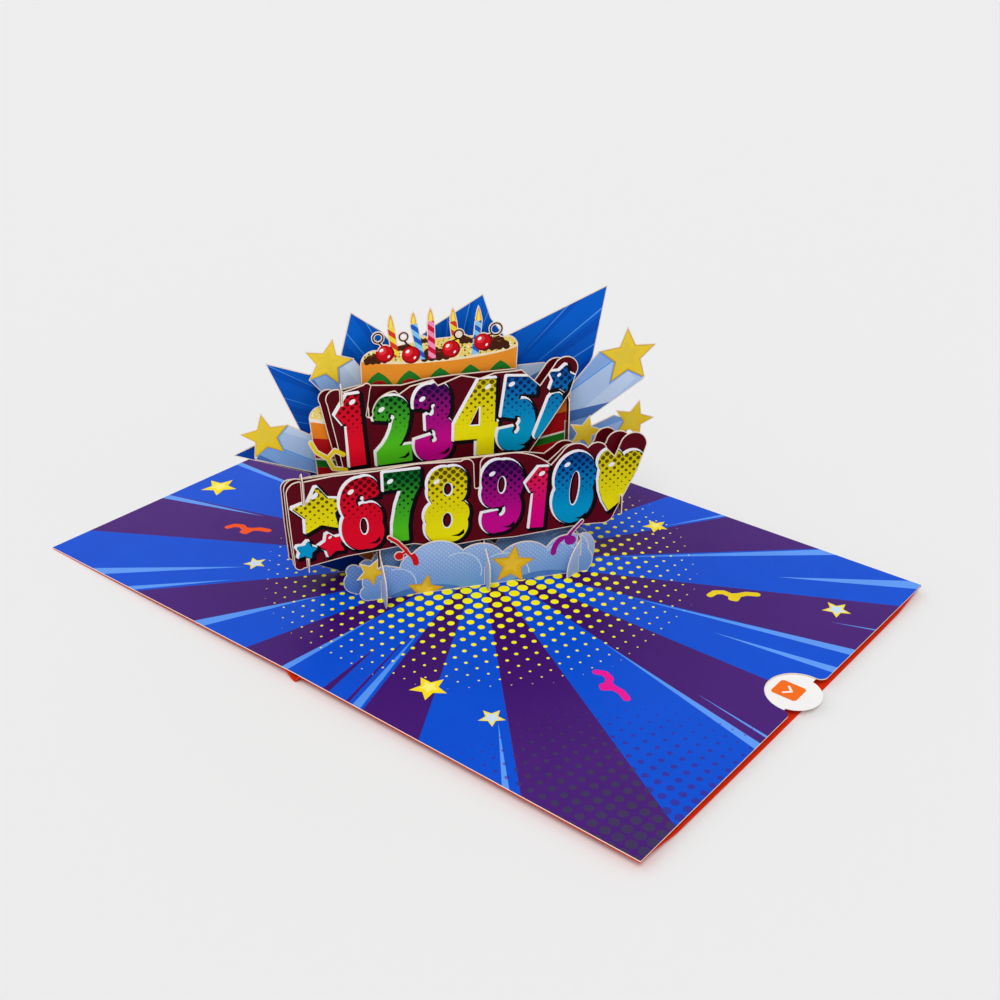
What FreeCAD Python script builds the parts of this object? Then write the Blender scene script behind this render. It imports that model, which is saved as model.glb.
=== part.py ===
# Pop-up greeting card, standing open with its scene of slotted paper plates raised.
# Frame: X across the spine, Y along the spine, Z up, floor at z = 0. Lengths in mm.
import FreeCAD
import Part
import math
import os

PANEL_W = 150.0        # one panel, across the spine
PANEL_H = 200.0        # one panel, along the spine
SHEET_T = 0.4          # inner sheet and cover
SPINE_Z = 4.2          # top of the inner sheet at the spine and on the right panel
EDGE_Z = 0.8           # top of the inner sheet at the left outer edge
PLATE_T = 0.4          # pop-up plates and slats
FIT = 0.15             # clearance on each face of a slot or slit
RUN_DEG = 54.0         # run of the plates, from +X towards +Y
NOTE_T = 0.3
NOTE_GAP = 0.25        # note card below the inner sheet
NOTE_LENGTH = 96.8
NOTE_IN = 3.2          # note card's edge inside the sheet's edge
NOTE_SIDE = 8.0        # note card's sides inside the deep part of the pocket
THUMB_IN = 5.5         # thumb tab's centre inside the sheet's edge
THUMB_Y = 4.2
THUMB_R = 10.2
NOTCH_R = 12.0
NOTCH_IN = 3.5
NOTCH_FILLET = 3.0
COVER_NOTCH_SHIFT = -3.0
FOLD_X = 5.0           # left fold of the spine
TIP_X = 0.0            # where the spine's fold touches the floor
TIP_HALF = 0.4         # half width of that flat crease
RISE_X = 2.6           # right fold of the spine
GLUE_X = 12.0          # cover glued to the sheet from the spine to here
GLUE_STRIP = 5.0       # and along the two short edges
POCKET_MARGIN = 20.0   # from those edges to where the pocket reaches nearly its full depth
POCKET_SIDE_Z = 1.2    # top of the cover there, at the outer edge

# Distance of each plate in front of the spine point, along the plates' normal.
D_LOWER_FRONT = 16.0
CLOUD_AHEAD = 2.0      # front cloud before the lower row's front plate
FINGER_AHEAD = 1.6     # links' fingers before it
FINGER_AHEAD_UPPER = 0.9   # and before the upper row's front plate
D_CLOUD_FRONT = D_LOWER_FRONT + CLOUD_AHEAD
D_LOWER_MIDDLE = 13.6
D_CLOUD_SECOND = 11.8
D_LOWER_BACK = 9.0
D_UPPER_FRONT = 5.5
D_SMALL_STAR = 4.0
D_UPPER_BACK = 3.0
D_CAKE = 1.0
D_TRAILS = -3.5
D_BURST = -7.5

# Place of each slat along the plates.
S_LEFT = -41.0
S_MIDDLE = 0.6
S_RIGHT = 38.0
S_LINK_LOWER_LEFT = -68.8
S_LINK_LOWER_RIGHT = 57.0
S_LINK_UPPER_LEFT = -51.0

# Heights where the two halves of each lap meet.
LAP_CLOUD = 8.0
LAP_LOWER = 32.0
LAP_UPPER = 62.0
LAP_REAR = 60.0
LAP_LINK_LOWER = 36.0
LAP_LINK_UPPER = 72.0
LAP_LINK_CAKE = 66.0
FINGER_LEFT_LOW = 21.0
FINGER_LEFT_HIGH = 44.6
FINGER_RIGHT_LOW = 32.0
FINGER_UPPER = 78.6

GLUE_Y = PANEL_H / 2 - GLUE_STRIP
POCKET_Y = PANEL_H / 2 - POCKET_MARGIN
NOTE_HALF = POCKET_Y - NOTE_SIDE
NOTE_X1 = PANEL_W - NOTE_IN
NOTE_X0 = NOTE_X1 - NOTE_LENGTH
THUMB_X = PANEL_W - THUMB_IN
NOTCH_X = PANEL_W - NOTCH_IN

os.makedirs("parts", exist_ok=True)


def drawn(points, thick):
    """Solid from a closed outline in the XZ plane; four numbers are an arc's middle and end."""
    here = points[0]
    edges = []
    for leg in points[1:] + [points[0]]:
        a = FreeCAD.Vector(here[0], 0, here[1])
        end = leg[-2:]
        b = FreeCAD.Vector(end[0], 0, end[1])
        if len(leg) == 4:
            edges.append(Part.Arc(a, FreeCAD.Vector(leg[0], 0, leg[1]), b).toShape())
        elif (b - a).Length > 1e-6:
            edges.append(Part.makeLine(a, b))
        here = end
    face = Part.Face(Part.Wire(edges))
    face.translate(FreeCAD.Vector(0, -thick / 2, 0))
    return face.extrude(FreeCAD.Vector(0, thick, 0))


def disc(cx, cz, r):
    return [(cx - r, cz), (cx, cz + r, cx + r, cz), (cx, cz - r, cx - r, cz)]


def star(cx, cz, r, first_deg, inner=0.46):
    pts = []
    for k in range(10):
        a = math.radians(first_deg + 36 * k)
        q = r if k % 2 == 0 else r * inner
        pts.append((cx + q * math.cos(a), cz + q * math.sin(a)))
    return pts


def band(p, q, width):
    """Round-ended stroke from p to q."""
    dx = q[0] - p[0]
    dz = q[1] - p[1]
    n = math.hypot(dx, dz)
    ux = dx / n * width / 2
    uz = dz / n * width / 2
    return [(p[0] - uz, p[1] + ux), (q[0] - uz, q[1] + ux),
            (q[0] + ux, q[1] + uz, q[0] + uz, q[1] - ux),
            (p[0] + uz, p[1] - ux), (p[0] - ux, p[1] - uz, p[0] - uz, p[1] + ux)]


def flame(cx, z0, z1):
    zm = z0 + 0.38 * (z1 - z0)
    return [(cx, z1), (cx + 1.0, zm + 1.0, cx + 1.2, zm - 0.4), (cx, z0 - 0.2, cx - 1.2, zm - 0.4),
            (cx - 1.0, zm + 1.0, cx, z1)]


def merged(outlines, thick=PLATE_T):
    solid = drawn(outlines[0], thick)
    if len(outlines) > 1:
        solid = solid.fuse([drawn(o, thick) for o in outlines[1:]])
    return solid.removeSplitter()


def stand(solid, offset, turn_deg, at=(0.0, 0.0)):
    """Move a drawn solid to its plane: offset along its own +Y, then turn about Z."""
    solid.translate(FreeCAD.Vector(0, offset, 0))
    solid.rotate(FreeCAD.Vector(0, 0, 0), FreeCAD.Vector(0, 0, 1), turn_deg)
    solid.translate(FreeCAD.Vector(at[0], at[1], SPINE_Z))
    return solid


def plate(outlines, d):
    return stand(merged(outlines), -d, RUN_DEG)


def slat(outlines, s):
    return stand(merged(outlines), s, RUN_DEG - 90)


def at_sd(s, d):
    a = math.radians(RUN_DEG)
    return (s * math.cos(a) + d * math.sin(a), s * math.sin(a) - d * math.cos(a))


def column(s, d, along, across, z0, z1, extra_turn=0.0):
    """Box about the point (s, d), long side `along` the plates, used to cut slots."""
    box = Part.makeBox(along, across, z1 - z0, FreeCAD.Vector(-along / 2, -across / 2, z0))
    box.rotate(FreeCAD.Vector(0, 0, 0), FreeCAD.Vector(0, 0, 1), RUN_DEG + extra_turn)
    x, y = at_sd(s, d)
    box.translate(FreeCAD.Vector(x, y, SPINE_Z))
    return box


SLOT = PLATE_T + 2 * FIT
SLOPE = (SPINE_Z - EDGE_Z) / PANEL_W


def lap(plate_name, slat_name, s, d, z, plate_open_below=True):
    """Half lap of a plate and a slat that cross at (s, d): each is slotted to height z."""
    low = (-30.0, z)
    high = (z, 160.0)
    on_plate = low if plate_open_below else high
    on_slat = high if plate_open_below else low
    made[plate_name] = made[plate_name].cut(column(s, d, SLOT, 1.2, *on_plate))
    made[slat_name] = made[slat_name].cut(column(s, d, 1.2, SLOT, *on_slat))


def under(drop):
    """Everything below the inner sheet's top, lowered by drop."""
    z0 = SPINE_Z - drop
    far = 2 * PANEL_W
    return drawn([(-far, -60), (-far, z0 - far * SLOPE), (0, z0), (far, z0), (far, -60)], 4 * PANEL_H)


def footed(name, s_or_d, tabs, is_slat=False):
    """Trim a piece to the sheet and add tabs that end flush with the sheet's underside."""
    global sheet
    body = made[name].cut(under(0))
    for a, b in tabs:
        shape = [(a, -12), (a, 1.0), (b, 1.0), (b, -12)]
        tab = slat([shape], s_or_d) if is_slat else plate([shape], s_or_d)
        body = body.fuse(tab.cut(under(SHEET_T)))
        mid = (a + b) / 2
        if is_slat:
            hole = column(s_or_d, mid, SLOT, b - a + 2 * FIT, -12, 12)
        else:
            hole = column(mid, s_or_d, b - a + 2 * FIT, SLOT, -12, 12)
        sheet = sheet.cut(hole)
    made[name] = body.removeSplitter()


def notch(shift):
    """Thumb notch in the right edge, its mouth rounded into the edge."""
    y0 = THUMB_Y + shift
    fx = PANEL_W - NOTCH_FILLET
    reach = NOTCH_R + NOTCH_FILLET
    fy = math.sqrt(reach ** 2 - (fx - NOTCH_X) ** 2)
    tx = NOTCH_X + (fx - NOTCH_X) * NOTCH_R / reach
    ty = fy * NOTCH_R / reach
    ux = math.cos(math.radians(45)) * NOTCH_FILLET
    pts = [(PANEL_W + 9, y0 - fy), (PANEL_W, y0 - fy),
           (fx + ux, y0 - fy + ux, tx, y0 - ty),
           (NOTCH_X - NOTCH_R, y0, tx, y0 + ty),
           (fx + ux, y0 + fy - ux, PANEL_W, y0 + fy), (PANEL_W + 9, y0 + fy)]
    flat = drawn(pts, 60)
    flat.rotate(FreeCAD.Vector(0, 0, 0), FreeCAD.Vector(1, 0, 0), 90)
    # turning about X sends the drawn z to -y, so mirror back to +y
    return flat.mirror(FreeCAD.Vector(0, 0, 0), FreeCAD.Vector(0, 1, 0))


# Inner sheet
under_top = SPINE_Z - SHEET_T
under_edge = EDGE_Z - SHEET_T
sheet = drawn([(-PANEL_W, EDGE_Z), (0, SPINE_Z), (PANEL_W, SPINE_Z), (PANEL_W, under_top),
               (0, under_top), (-PANEL_W, under_edge)], PANEL_H)
sheet = sheet.cut(notch(0))

# Cover: left panel glued flat under the sheet, spine folded down to the floor, right panel
# glued along the spine and the two short edges and sagging between them as an open pocket
fold_z = under_top - FOLD_X * SLOPE
gusset = [(-PANEL_W, 0), (-FOLD_X - 0.1, fold_z - SHEET_T), (TIP_X - TIP_HALF, 0), (TIP_X + TIP_HALF, 0),
          (RISE_X + 0.25, under_top - SHEET_T), (GLUE_X, under_top - SHEET_T), (GLUE_X, under_top),
          (RISE_X, under_top), (TIP_X, SHEET_T), (-FOLD_X, fold_z),
          (-PANEL_W, under_edge)]
cover = drawn(gusset, PANEL_H)


def pocket_section(x, depth):
    """Section of the right cover panel at x, sagging by a share `depth` of its full depth."""
    half = PANEL_H / 2
    side = under_top - depth * (under_top - POCKET_SIDE_Z)
    mid = under_top - depth * (under_top - SHEET_T)
    v = FreeCAD.Vector
    pts = [(half, under_top), (GLUE_Y, under_top), (POCKET_Y, side)]
    top = [v(x, y, z) for y, z in pts] + [v(x, -y, z) for y, z in reversed(pts)]
    low = [p - v(0, 0, SHEET_T) for p in reversed(top)]
    edges = []
    for row, zc in ((top, mid), (low, mid - SHEET_T)):
        for i in range(5):
            if i == 2 and depth > 0:
                edges.append(Part.Arc(row[i], v(x, 0, zc), row[i + 1]).toShape())
            else:
                edges.append(Part.makeLine(row[i], row[i + 1]))
        nxt = low[0] if row is top else top[0]
        edges.append(Part.makeLine(row[-1], nxt))
    return Part.Wire(edges)


sag = Part.makeLoft([pocket_section(GLUE_X, 0.0), pocket_section(PANEL_W, 1.0)], True, True)
cover = cover.fuse(sag).removeSplitter()
cover = cover.cut(notch(COVER_NOTCH_SHIFT))

# Note card with its round thumb tab, loose in the pocket
note = Part.makeBox(NOTE_X1 - NOTE_X0, 2 * NOTE_HALF, NOTE_T,
                    FreeCAD.Vector(NOTE_X0, -NOTE_HALF, under_top - NOTE_GAP - NOTE_T))
thumb = Part.makeCylinder(THUMB_R, NOTE_T,
                          FreeCAD.Vector(THUMB_X, THUMB_Y, under_top - NOTE_GAP - NOTE_T))
note = note.fuse(thumb).removeSplitter()

made = {}

# Cloud plates
made["cloud_front"] = plate([
    [(-45.5, -6), (-45.5, 0), (-50.0, 2.4, -48.6, 6.2), (-48.2, 10.6, -44.0, 12.4),
     (-41.0, 14.6, -37.3, 14.2), (-33.9, 13.2), (-31.8, 17.2, -28.5, 18.8),
     (-18.8, 22.9, -8.4, 17.4), (-1.6, 19.4, 7.6, 14.1), (17.2, 17.6, 25.7, 13.6),
     (29.5, 17.2, 34.6, 18.2), (40.6, 16.9, 43.4, 10.5), (45.3, 5.5, 43.0, 0), (43.0, -6)],
    star(-45.2, 12.6, 6.4, 62), band((-37.4, 27.0), (-34.4, 24.6), 1.9),
    band((-34.4, 24.6), (-31.2, 20.6), 1.9), band((-31.2, 20.6), (-28.2, 14.8), 1.9),
    disc(-33.9, 18.3, 2.0), band((-33.9, 18.3), (-31.0, 20.0), 1.6),
    band((40.3, 23.6), (37.2, 20.4), 1.6), band((37.2, 20.4), (34.4, 17.2), 1.9),
    band((34.4, 17.2), (29.0, 11.0), 1.9), disc(35.4, 15.2, 2.0)], D_CLOUD_FRONT)
made["cloud_second"] = plate([
    [(-51.0, -6), (-51.0, 0), (-55.3, 4.2, -54.0, 9.0), (-52.9, 13.0, -48.9, 12.2),
     (-46.8, 14.8, -43.9, 14.2), (-37.5, 20.0, -28.9, 17.8), (-20.0, 22.0, -9.0, 17.0),
     (-2.0, 18.4, 6.0, 14.6), (14.6, 20.6, 26.4, 16.6), (33.6, 20.8, 40.8, 17.2),
     (44.6, 14.6, 44.2, 9.0), (46.2, 4.5, 43.5, 0), (43.5, -6)]], D_CLOUD_SECOND)

# Lower row of figures: front, middle and back plates
LOWER_BOTTOM = [(50.0, 20.2), (41.0, 20.8), (31.6, 20.2), (13.0, 19.0), (0.4, 19.6),
                (-15.4, 18.7), (-27.7, 21.8), (-54.1, 20.0)]
made["numeral_row_lower_front"] = plate([
    [(-70.5, 17.2), (-73.2, 17.0, -74.0, 19.4), (-74.6, 34.5), (-75.1, 48.7),
     (-73.6, 53.0, -68.4, 54.1), (-57.5, 55.2), (-40.6, 55.2), (-25.7, 56.3), (-8.3, 55.3),
     (-4.3, 55.2, -3.2, 52.5), (-3.0, 44.0), (-2.1, 42.8, -1.2, 44.0), (-0.9, 52.9),
     (0.4, 55.4, 3.0, 56.0), (10.0, 56.4), (20.0, 54.4, 27.5, 49.2), (31.9, 54.1),
     (36.6, 57.2, 42.4, 54.9), (47.0, 56.6, 50.4, 53.4), (53.6, 49.9), (56.0, 56.0),
     (61.6, 59.2, 66.8, 53.2), (63.3, 42.3), (58.3, 32.1), (54.4, 24.0),
     (52.9, 21.4, 50.0, 20.2)] + LOWER_BOTTOM[1:]], D_LOWER_FRONT)
made["numeral_row_lower_middle"] = plate([
    [(-71.0, 17.2), (-73.8, 17.2, -74.4, 19.4), (-75.4, 34.5), (-75.7, 49.6),
     (-74.4, 53.4, -69.5, 54.2), (-57.5, 54.6), (-25.0, 55.0), (3.0, 55.0), (16.0, 54.4),
     (27.0, 49.6), (31.5, 53.6), (36.0, 56.0, 41.4, 53.4), (47.6, 50.4), (50.6, 55.2),
     (55.2, 59.4, 60.6, 53.6), (58.8, 42.0), (58.3, 31.0), (53.4, 24.0)] + LOWER_BOTTOM],
    D_LOWER_MIDDLE)
made["numeral_row_lower_back"] = plate([
    [(-72.0, 17.6), (-75.0, 17.8, -75.6, 20.0), (-76.2, 34.5), (-76.4, 48.0),
     (-75.2, 51.4, -70.9, 51.8), (-64.2, 52.6), (-30.0, 53.0), (10.0, 53.0), (19.0, 52.6),
     (26.6, 51.0), (30.4, 53.6), (35.6, 55.6, 40.2, 52.0), (44.8, 50.2), (47.4, 54.8),
     (51.6, 59.2, 56.4, 53.4), (57.6, 44.0), (58.3, 31.0), (53.4, 24.0)] + LOWER_BOTTOM],
    D_LOWER_BACK)

# Upper row of figures: front and back plates
made["numeral_row_upper_front"] = plate([
    [(-51.8, 51.0), (-54.2, 66.0), (-56.5, 79.5), (-56.2, 83.6, -50.0, 83.9), (-42.6, 85.9),
     (-40.6, 86.4, -40.0, 84.0), (-41.7, 74.4), (-41.0, 72.6, -39.8, 74.4), (-36.8, 80.0, -30.6, 82.3),
     (-29.3, 80.8), (-25.0, 83.6), (-16.1, 85.3), (-14.3, 82.8), (-5.3, 85.9), (2.0, 83.9),
     (7.8, 85.6), (16.1, 85.6), (18.4, 85.7), (25.7, 78.5), (31.4, 86.6),
     (35.6, 89.4, 40.2, 82.0), (37.9, 74.3), (29.0, 60.8), (21.5, 50.2)],
    band((-63.4, 64.6), (-61.6, 60.6), 2.0), band((-61.6, 60.6), (-57.4, 57.4), 2.0),
    band((-57.4, 57.4), (-54.6, 60.4), 2.0), band((-54.6, 60.4), (-51.6, 58.4), 2.0),
    band((-57.4, 57.4), (-55.6, 53.0), 2.0), band((-55.6, 53.0), (-51.0, 51.8), 2.0)],
    D_UPPER_FRONT)
made["numeral_row_upper_back"] = plate([
    [(-53.6, 51.0), (-56.6, 66.0), (-58.9, 79.0), (-58.8, 82.9, -53.0, 83.4), (-44.0, 85.0),
     (-28.0, 83.4), (-18.6, 85.0), (-8.0, 85.4), (13.4, 85.4), (16.4, 85.4), (23.2, 78.4),
     (28.8, 86.4), (33.4, 88.2, 37.2, 81.6), (35.2, 74.0), (27.0, 60.8), (20.0, 50.2)]],
    D_UPPER_BACK)

# Cake with candles, cherries, curls and chocolate pieces
CANDLES = [(-29.3, 94.0, -30.6, 105.4, 111.3), (-19.4, 92.0, -22.1, 106.2, 111.3),
           (-15.4, 92.0, -15.6, 106.8, 112.4), (-5.9, 94.0, -7.1, 106.0, 111.8),
           (1.2, 92.0, 2.7, 105.2, 111.4)]
cake = [[(-44.0, -6), (-44.0, 8.0), (-53.0, 16.0), (-58.0, 30.0), (-61.2, 46.5), (-62.9, 70.8), (-62.4, 74.6, -55.7, 76.8),
         (-42.6, 78.6), (-42.6, 91.8), (-41.4, 95.2, -36.0, 97.2), (-12.2, 99.8, 12.4, 98.2),
         (17.0, 96.8, 18.0, 94.6), (17.2, 79.6), (28.0, 78.6, 38.6, 75.8), (39.6, 73.0),
         (38.9, 60.0), (36.6, 46.0), (31.0, 30.0), (31.0, -6)],
        disc(-33.2, 96.3, 2.9), disc(-8.1, 95.6, 3.0), disc(4.3, 97.4, 3.0),
        disc(-18.6, 99.4, 2.0), disc(-2.8, 98.6, 1.8), disc(9.6, 97.4, 2.0)]
for x0, z0, x1, z1, tip in CANDLES:
    cake.append([(x0 - 1.55, z0), (x1 - 1.55, z1), (x1 + 1.55, z1 + 0.4), (x0 + 1.55, z0)])
    cake.append(flame(x1, z1 - 0.2, tip))
for x0, z0, x1, z1, r in [(-33.0, 97.5, -35.6, 102.0, 2.5), (-23.6, 97.0, -26.0, 101.6, 2.2),
                          (-9.0, 97.5, -5.0, 100.6, 2.3), (4.6, 99.0, 9.4, 101.4, 2.9)]:
    cake.append(band((x0, z0), (x1, z1 - r * 0.6), 1.3))
    cake.append(disc(x1, z1, r))
body = merged(cake)
for x1, z1, r in [(-35.6, 102.0, 2.5), (-26.0, 101.6, 2.2), (9.4, 101.4, 2.9)]:
    body = body.cut(drawn(disc(x1, z1, r - 1.2), 2.0))
made["cake"] = stand(body, -D_CAKE, RUN_DEG)

# Stars with their trails, the burst behind, and the small star in front of it
made["star_trails"] = plate([
    [(-44.0, -6), (-44.0, 26.0), (-58.8, 44.5), (-61.6, 47.4), (-84.0, 55.9), (-79.3, 65.0),
     (-71.0, 69.3), (-62.7, 64.0), (-58.0, 72.0), (-55.6, 79.0), (-61.3, 86.0), (-54.0, 92.3),
     (-44.4, 93.0), (-42.0, 89.5), (-38.0, 84.0), (30.0, 84.0), (41.6, 73.9), (52.3, 86.3),
     (64.3, 82.9), (71.7, 72.8), (49.4, 58.5), (50.2, 54.5), (59.6, 58.2), (67.9, 54.9),
     (64.0, 47.0), (46.0, 40.0), (34.0, 30.0), (34.0, -6)],
    star(-54.0, 92.3, 9.9, 4.3), star(-79.3, 65.0, 9.9, 24.4), star(64.3, 82.9, 12.6, 20.2),
    star(67.9, 54.9, 9.2, 2.0)], D_TRAILS)
made["burst_back"] = plate([
    [(-55.0, -6), (-55.0, 0), (-63.6, 4.0), (-63.6, 45.4), (-65.5, 46.3), (-91.8, 56.8), (-84.3, 59.8),
     (-66.0, 64.5), (-76.8, 92.9), (-61.1, 87.0), (-49.6, 86.0), (-48.4, 94.1), (-44.0, 109.9),
     (-33.0, 101.6), (-26.0, 92.0), (-14.0, 101.0), (6.5, 112.6), (9.6, 102.7), (15.1, 94.7),
     (56.1, 111.8), (51.1, 82.6), (47.0, 74.0), (58.0, 71.0), (70.3, 69.2), (50.8, 56.5),
     (41.0, 46.0), (37.0, 30.0), (37.0, -6)]], D_BURST)
made["small_star"] = plate([
    star(45.0, 55.6, 7.4, 75), [(39.4, -6), (39.4, 30.0), (43.0, 54.0), (46.6, 54.0), (43.6, 30.0),
                                (43.6, -6)]], D_SMALL_STAR)

# Three slats that carry the plates; each reaches in front of the front cloud as a leaf.
# Outline in distance from the spine point along the plates' normal, and height.
BACK_OF_LOWER = D_LOWER_FRONT - PLATE_T / 2
BACK_OF_UPPER = D_UPPER_FRONT - PLATE_T / 2


def main_slat(foot, leaf, top_front, top_rear, tall):
    return [(foot, -6), (foot, 0), (foot + 2.6, 7.0, foot + 1.7, 13.0), leaf,
            (BACK_OF_LOWER, 18.2), (BACK_OF_LOWER, 46.0), (10.9, 48.4), (7.0, 48.4),
            (BACK_OF_UPPER, 50.4), (BACK_OF_UPPER, top_front), (-0.6, tall),
            (-4.6, top_rear), (-9.6, top_rear - 3.0), (-14.5, 46.0), (-21.5, 2.0), (-21.5, -6)]


made["slat_left"] = slat([main_slat(25.8, (21.5, 16.2), 76.0, 78.0, 80.0)], S_LEFT)
made["slat_middle"] = slat([main_slat(23.2, (19.7, 15.9), 76.0, 78.0, 80.0)], S_MIDDLE)
made["slat_right"] = slat([
    [(14.6, -6), (14.6, 0), (14.6, 13.5), (15.4, 19.6), (BACK_OF_LOWER, 24.0),
     (BACK_OF_LOWER, 46.0), (10.9, 48.4), (7.0, 48.4), (4.9, 50.4), (4.9, 70.0), (1.6, 72.6),
     (-9.6, 70.0), (-14.5, 46.0), (-21.5, 2.0), (-21.5, -6)]], S_RIGHT)

# Leaf that crosses the right end of the front cloud, turned a little from the slats
LEAF_DEG = 31.0
LEAF_S = 39.7
LEAF_TOP = 20.0
made["leaf_right"] = stand(merged([
    [(-7.4, -6), (-7.4, 0), (-6.0, 7.4, -1.7, 13.0), (0.4, 15.0), (-3.2, 21.0), (-0.6, 17.6),
     (3.2, 17.0, 7.4, 13.4), (9.2, 8.2, 7.2, 2.0), (6.6, 0), (6.6, -6)]]),
    0.0, RUN_DEG + LEAF_DEG, at_sd(LEAF_S, D_CLOUD_FRONT))

# Short links at the ends of the rows
reach = D_LOWER_FRONT + FINGER_AHEAD
made["link_lower_left"] = slat([
    [(7.2, 20.0), (12.0, 17.0), (reach - 2.6, 15.6), (reach, 15.8), (reach, FINGER_LEFT_LOW),
     (BACK_OF_LOWER, FINGER_LEFT_LOW), (BACK_OF_LOWER, FINGER_LEFT_HIGH),
     (reach, FINGER_LEFT_HIGH), (reach, 55.4), (reach - 2.6, 57.0), (8.6, 53.0), (7.2, 50.0)]],
    S_LINK_LOWER_LEFT)
made["link_lower_right"] = slat([
    [(7.4, 33.0), (12.0, 30.0), (reach - 2.6, 24.4), (reach, 24.0), (reach, FINGER_RIGHT_LOW),
     (BACK_OF_LOWER, FINGER_RIGHT_LOW),
     (BACK_OF_LOWER, 47.0), (8.0, 47.0)]], S_LINK_LOWER_RIGHT)
reach = D_UPPER_FRONT + FINGER_AHEAD_UPPER
made["link_upper_left"] = slat([
    [(-0.4, 58.0), (5.0, 58.0), (BACK_OF_UPPER, 60.0), (BACK_OF_UPPER, FINGER_UPPER),
     (reach, FINGER_UPPER), (reach, 85.6), (reach - 1.0, 87.2), (2.0, 82.4), (1.8, 75.0),
     (-0.4, 75.0)]], S_LINK_UPPER_LEFT)

# Feet in slits of the sheet
footed("cloud_front", D_CLOUD_FRONT, [(-38.0, -31.0), (14.0, 22.0)])
footed("cloud_second", D_CLOUD_SECOND, [(-36.0, -28.0), (20.0, 28.0)])
footed("cake", D_CAKE, [(-34.0, -22.0), (12.0, 24.0)])
footed("star_trails", D_TRAILS, [(-34.0, -22.0), (16.0, 28.0)])
footed("burst_back", D_BURST, [(-52.0, -45.0), (-30.0, -18.0), (18.0, 30.0)])
footed("small_star", D_SMALL_STAR, [(39.8, 43.2)])
footed("slat_left", S_LEFT, [(-18.0, -12.0), (20.0, 24.5)], True)
footed("slat_middle", S_MIDDLE, [(-18.0, -12.0), (19.6, 22.6)], True)
footed("slat_right", S_RIGHT, [(-18.0, -12.0), (13.0, 14.4)], True)
made["leaf_right"] = made["leaf_right"].cut(under(0))

# Half laps
for name, s in (("slat_left", S_LEFT), ("slat_middle", S_MIDDLE)):
    lap("cloud_front", name, s, D_CLOUD_FRONT, LAP_CLOUD)
    lap("numeral_row_upper_back", name, s, D_UPPER_BACK, LAP_UPPER)
for name, s in (("slat_left", S_LEFT), ("slat_middle", S_MIDDLE), ("slat_right", S_RIGHT)):
    lap("cloud_second", name, s, D_CLOUD_SECOND, LAP_CLOUD, False)
    lap("numeral_row_lower_middle", name, s, D_LOWER_MIDDLE, LAP_LOWER)
    lap("numeral_row_lower_back", name, s, D_LOWER_BACK, LAP_LOWER)
    lap("burst_back", name, s, D_BURST, LAP_REAR)
    lap("cake", name, s, D_CAKE, LAP_REAR)
    lap("star_trails", name, s, D_TRAILS, LAP_REAR)
for name, s in (("link_lower_left", S_LINK_LOWER_LEFT), ("link_lower_right", S_LINK_LOWER_RIGHT)):
    lap("numeral_row_lower_middle", name, s, D_LOWER_MIDDLE, LAP_LINK_LOWER)
    lap("numeral_row_lower_back", name, s, D_LOWER_BACK, LAP_LINK_LOWER)
lap("numeral_row_upper_back", "link_upper_left", S_LINK_UPPER_LEFT, D_UPPER_BACK,
    LAP_LINK_UPPER, False)
lap("cake", "link_upper_left", S_LINK_UPPER_LEFT, D_CAKE, LAP_LINK_CAKE, False)

# Slots of the front plates, where the links' fingers come through
for name, s, d, z0, z1 in (
        ("numeral_row_lower_front", S_LINK_LOWER_LEFT, D_LOWER_FRONT, -30, FINGER_LEFT_LOW),
        ("numeral_row_lower_front", S_LINK_LOWER_LEFT, D_LOWER_FRONT, FINGER_LEFT_HIGH, 160),
        ("numeral_row_lower_front", S_LINK_LOWER_RIGHT, D_LOWER_FRONT, -30, FINGER_RIGHT_LOW),
        ("numeral_row_upper_front", S_LINK_UPPER_LEFT, D_UPPER_FRONT, FINGER_UPPER, 160)):
    made[name] = made[name].cut(column(s, d, SLOT, 1.2, z0, z1))

# The leaf crosses the front cloud aslant
made["cloud_front"] = made["cloud_front"].cut(
    column(LEAF_S, D_CLOUD_FRONT, 4.0, SLOT, LAP_CLOUD, LEAF_TOP, LEAF_DEG))
made["leaf_right"] = made["leaf_right"].cut(
    column(LEAF_S, D_CLOUD_FRONT, 4.0, SLOT, -30, LAP_CLOUD))

for node in ("inner_sheet", "cover", "note_card"):
    made[node] = {"inner_sheet": sheet, "cover": cover, "note_card": note}[node]

for node, shape in made.items():
    print(node, shape.ShapeType, len(shape.Solids), shape.isValid(), round(shape.Volume, 1))
    if shape.ShapeType == "Compound" and len(shape.Solids) == 1:
        shape = shape.Solids[0]
    shape.exportStep("parts/%s.step" % node)
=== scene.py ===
# Looks of the pop-up card: printed paper plates, linen cover, floor, lights and camera.
# Lengths are in mm unless a comment says metres; meshes and materials turn them to metres.
import bpy
import math
import numpy as np
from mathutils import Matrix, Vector
from mathutils.geometry import delaunay_2d_cdt


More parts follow.
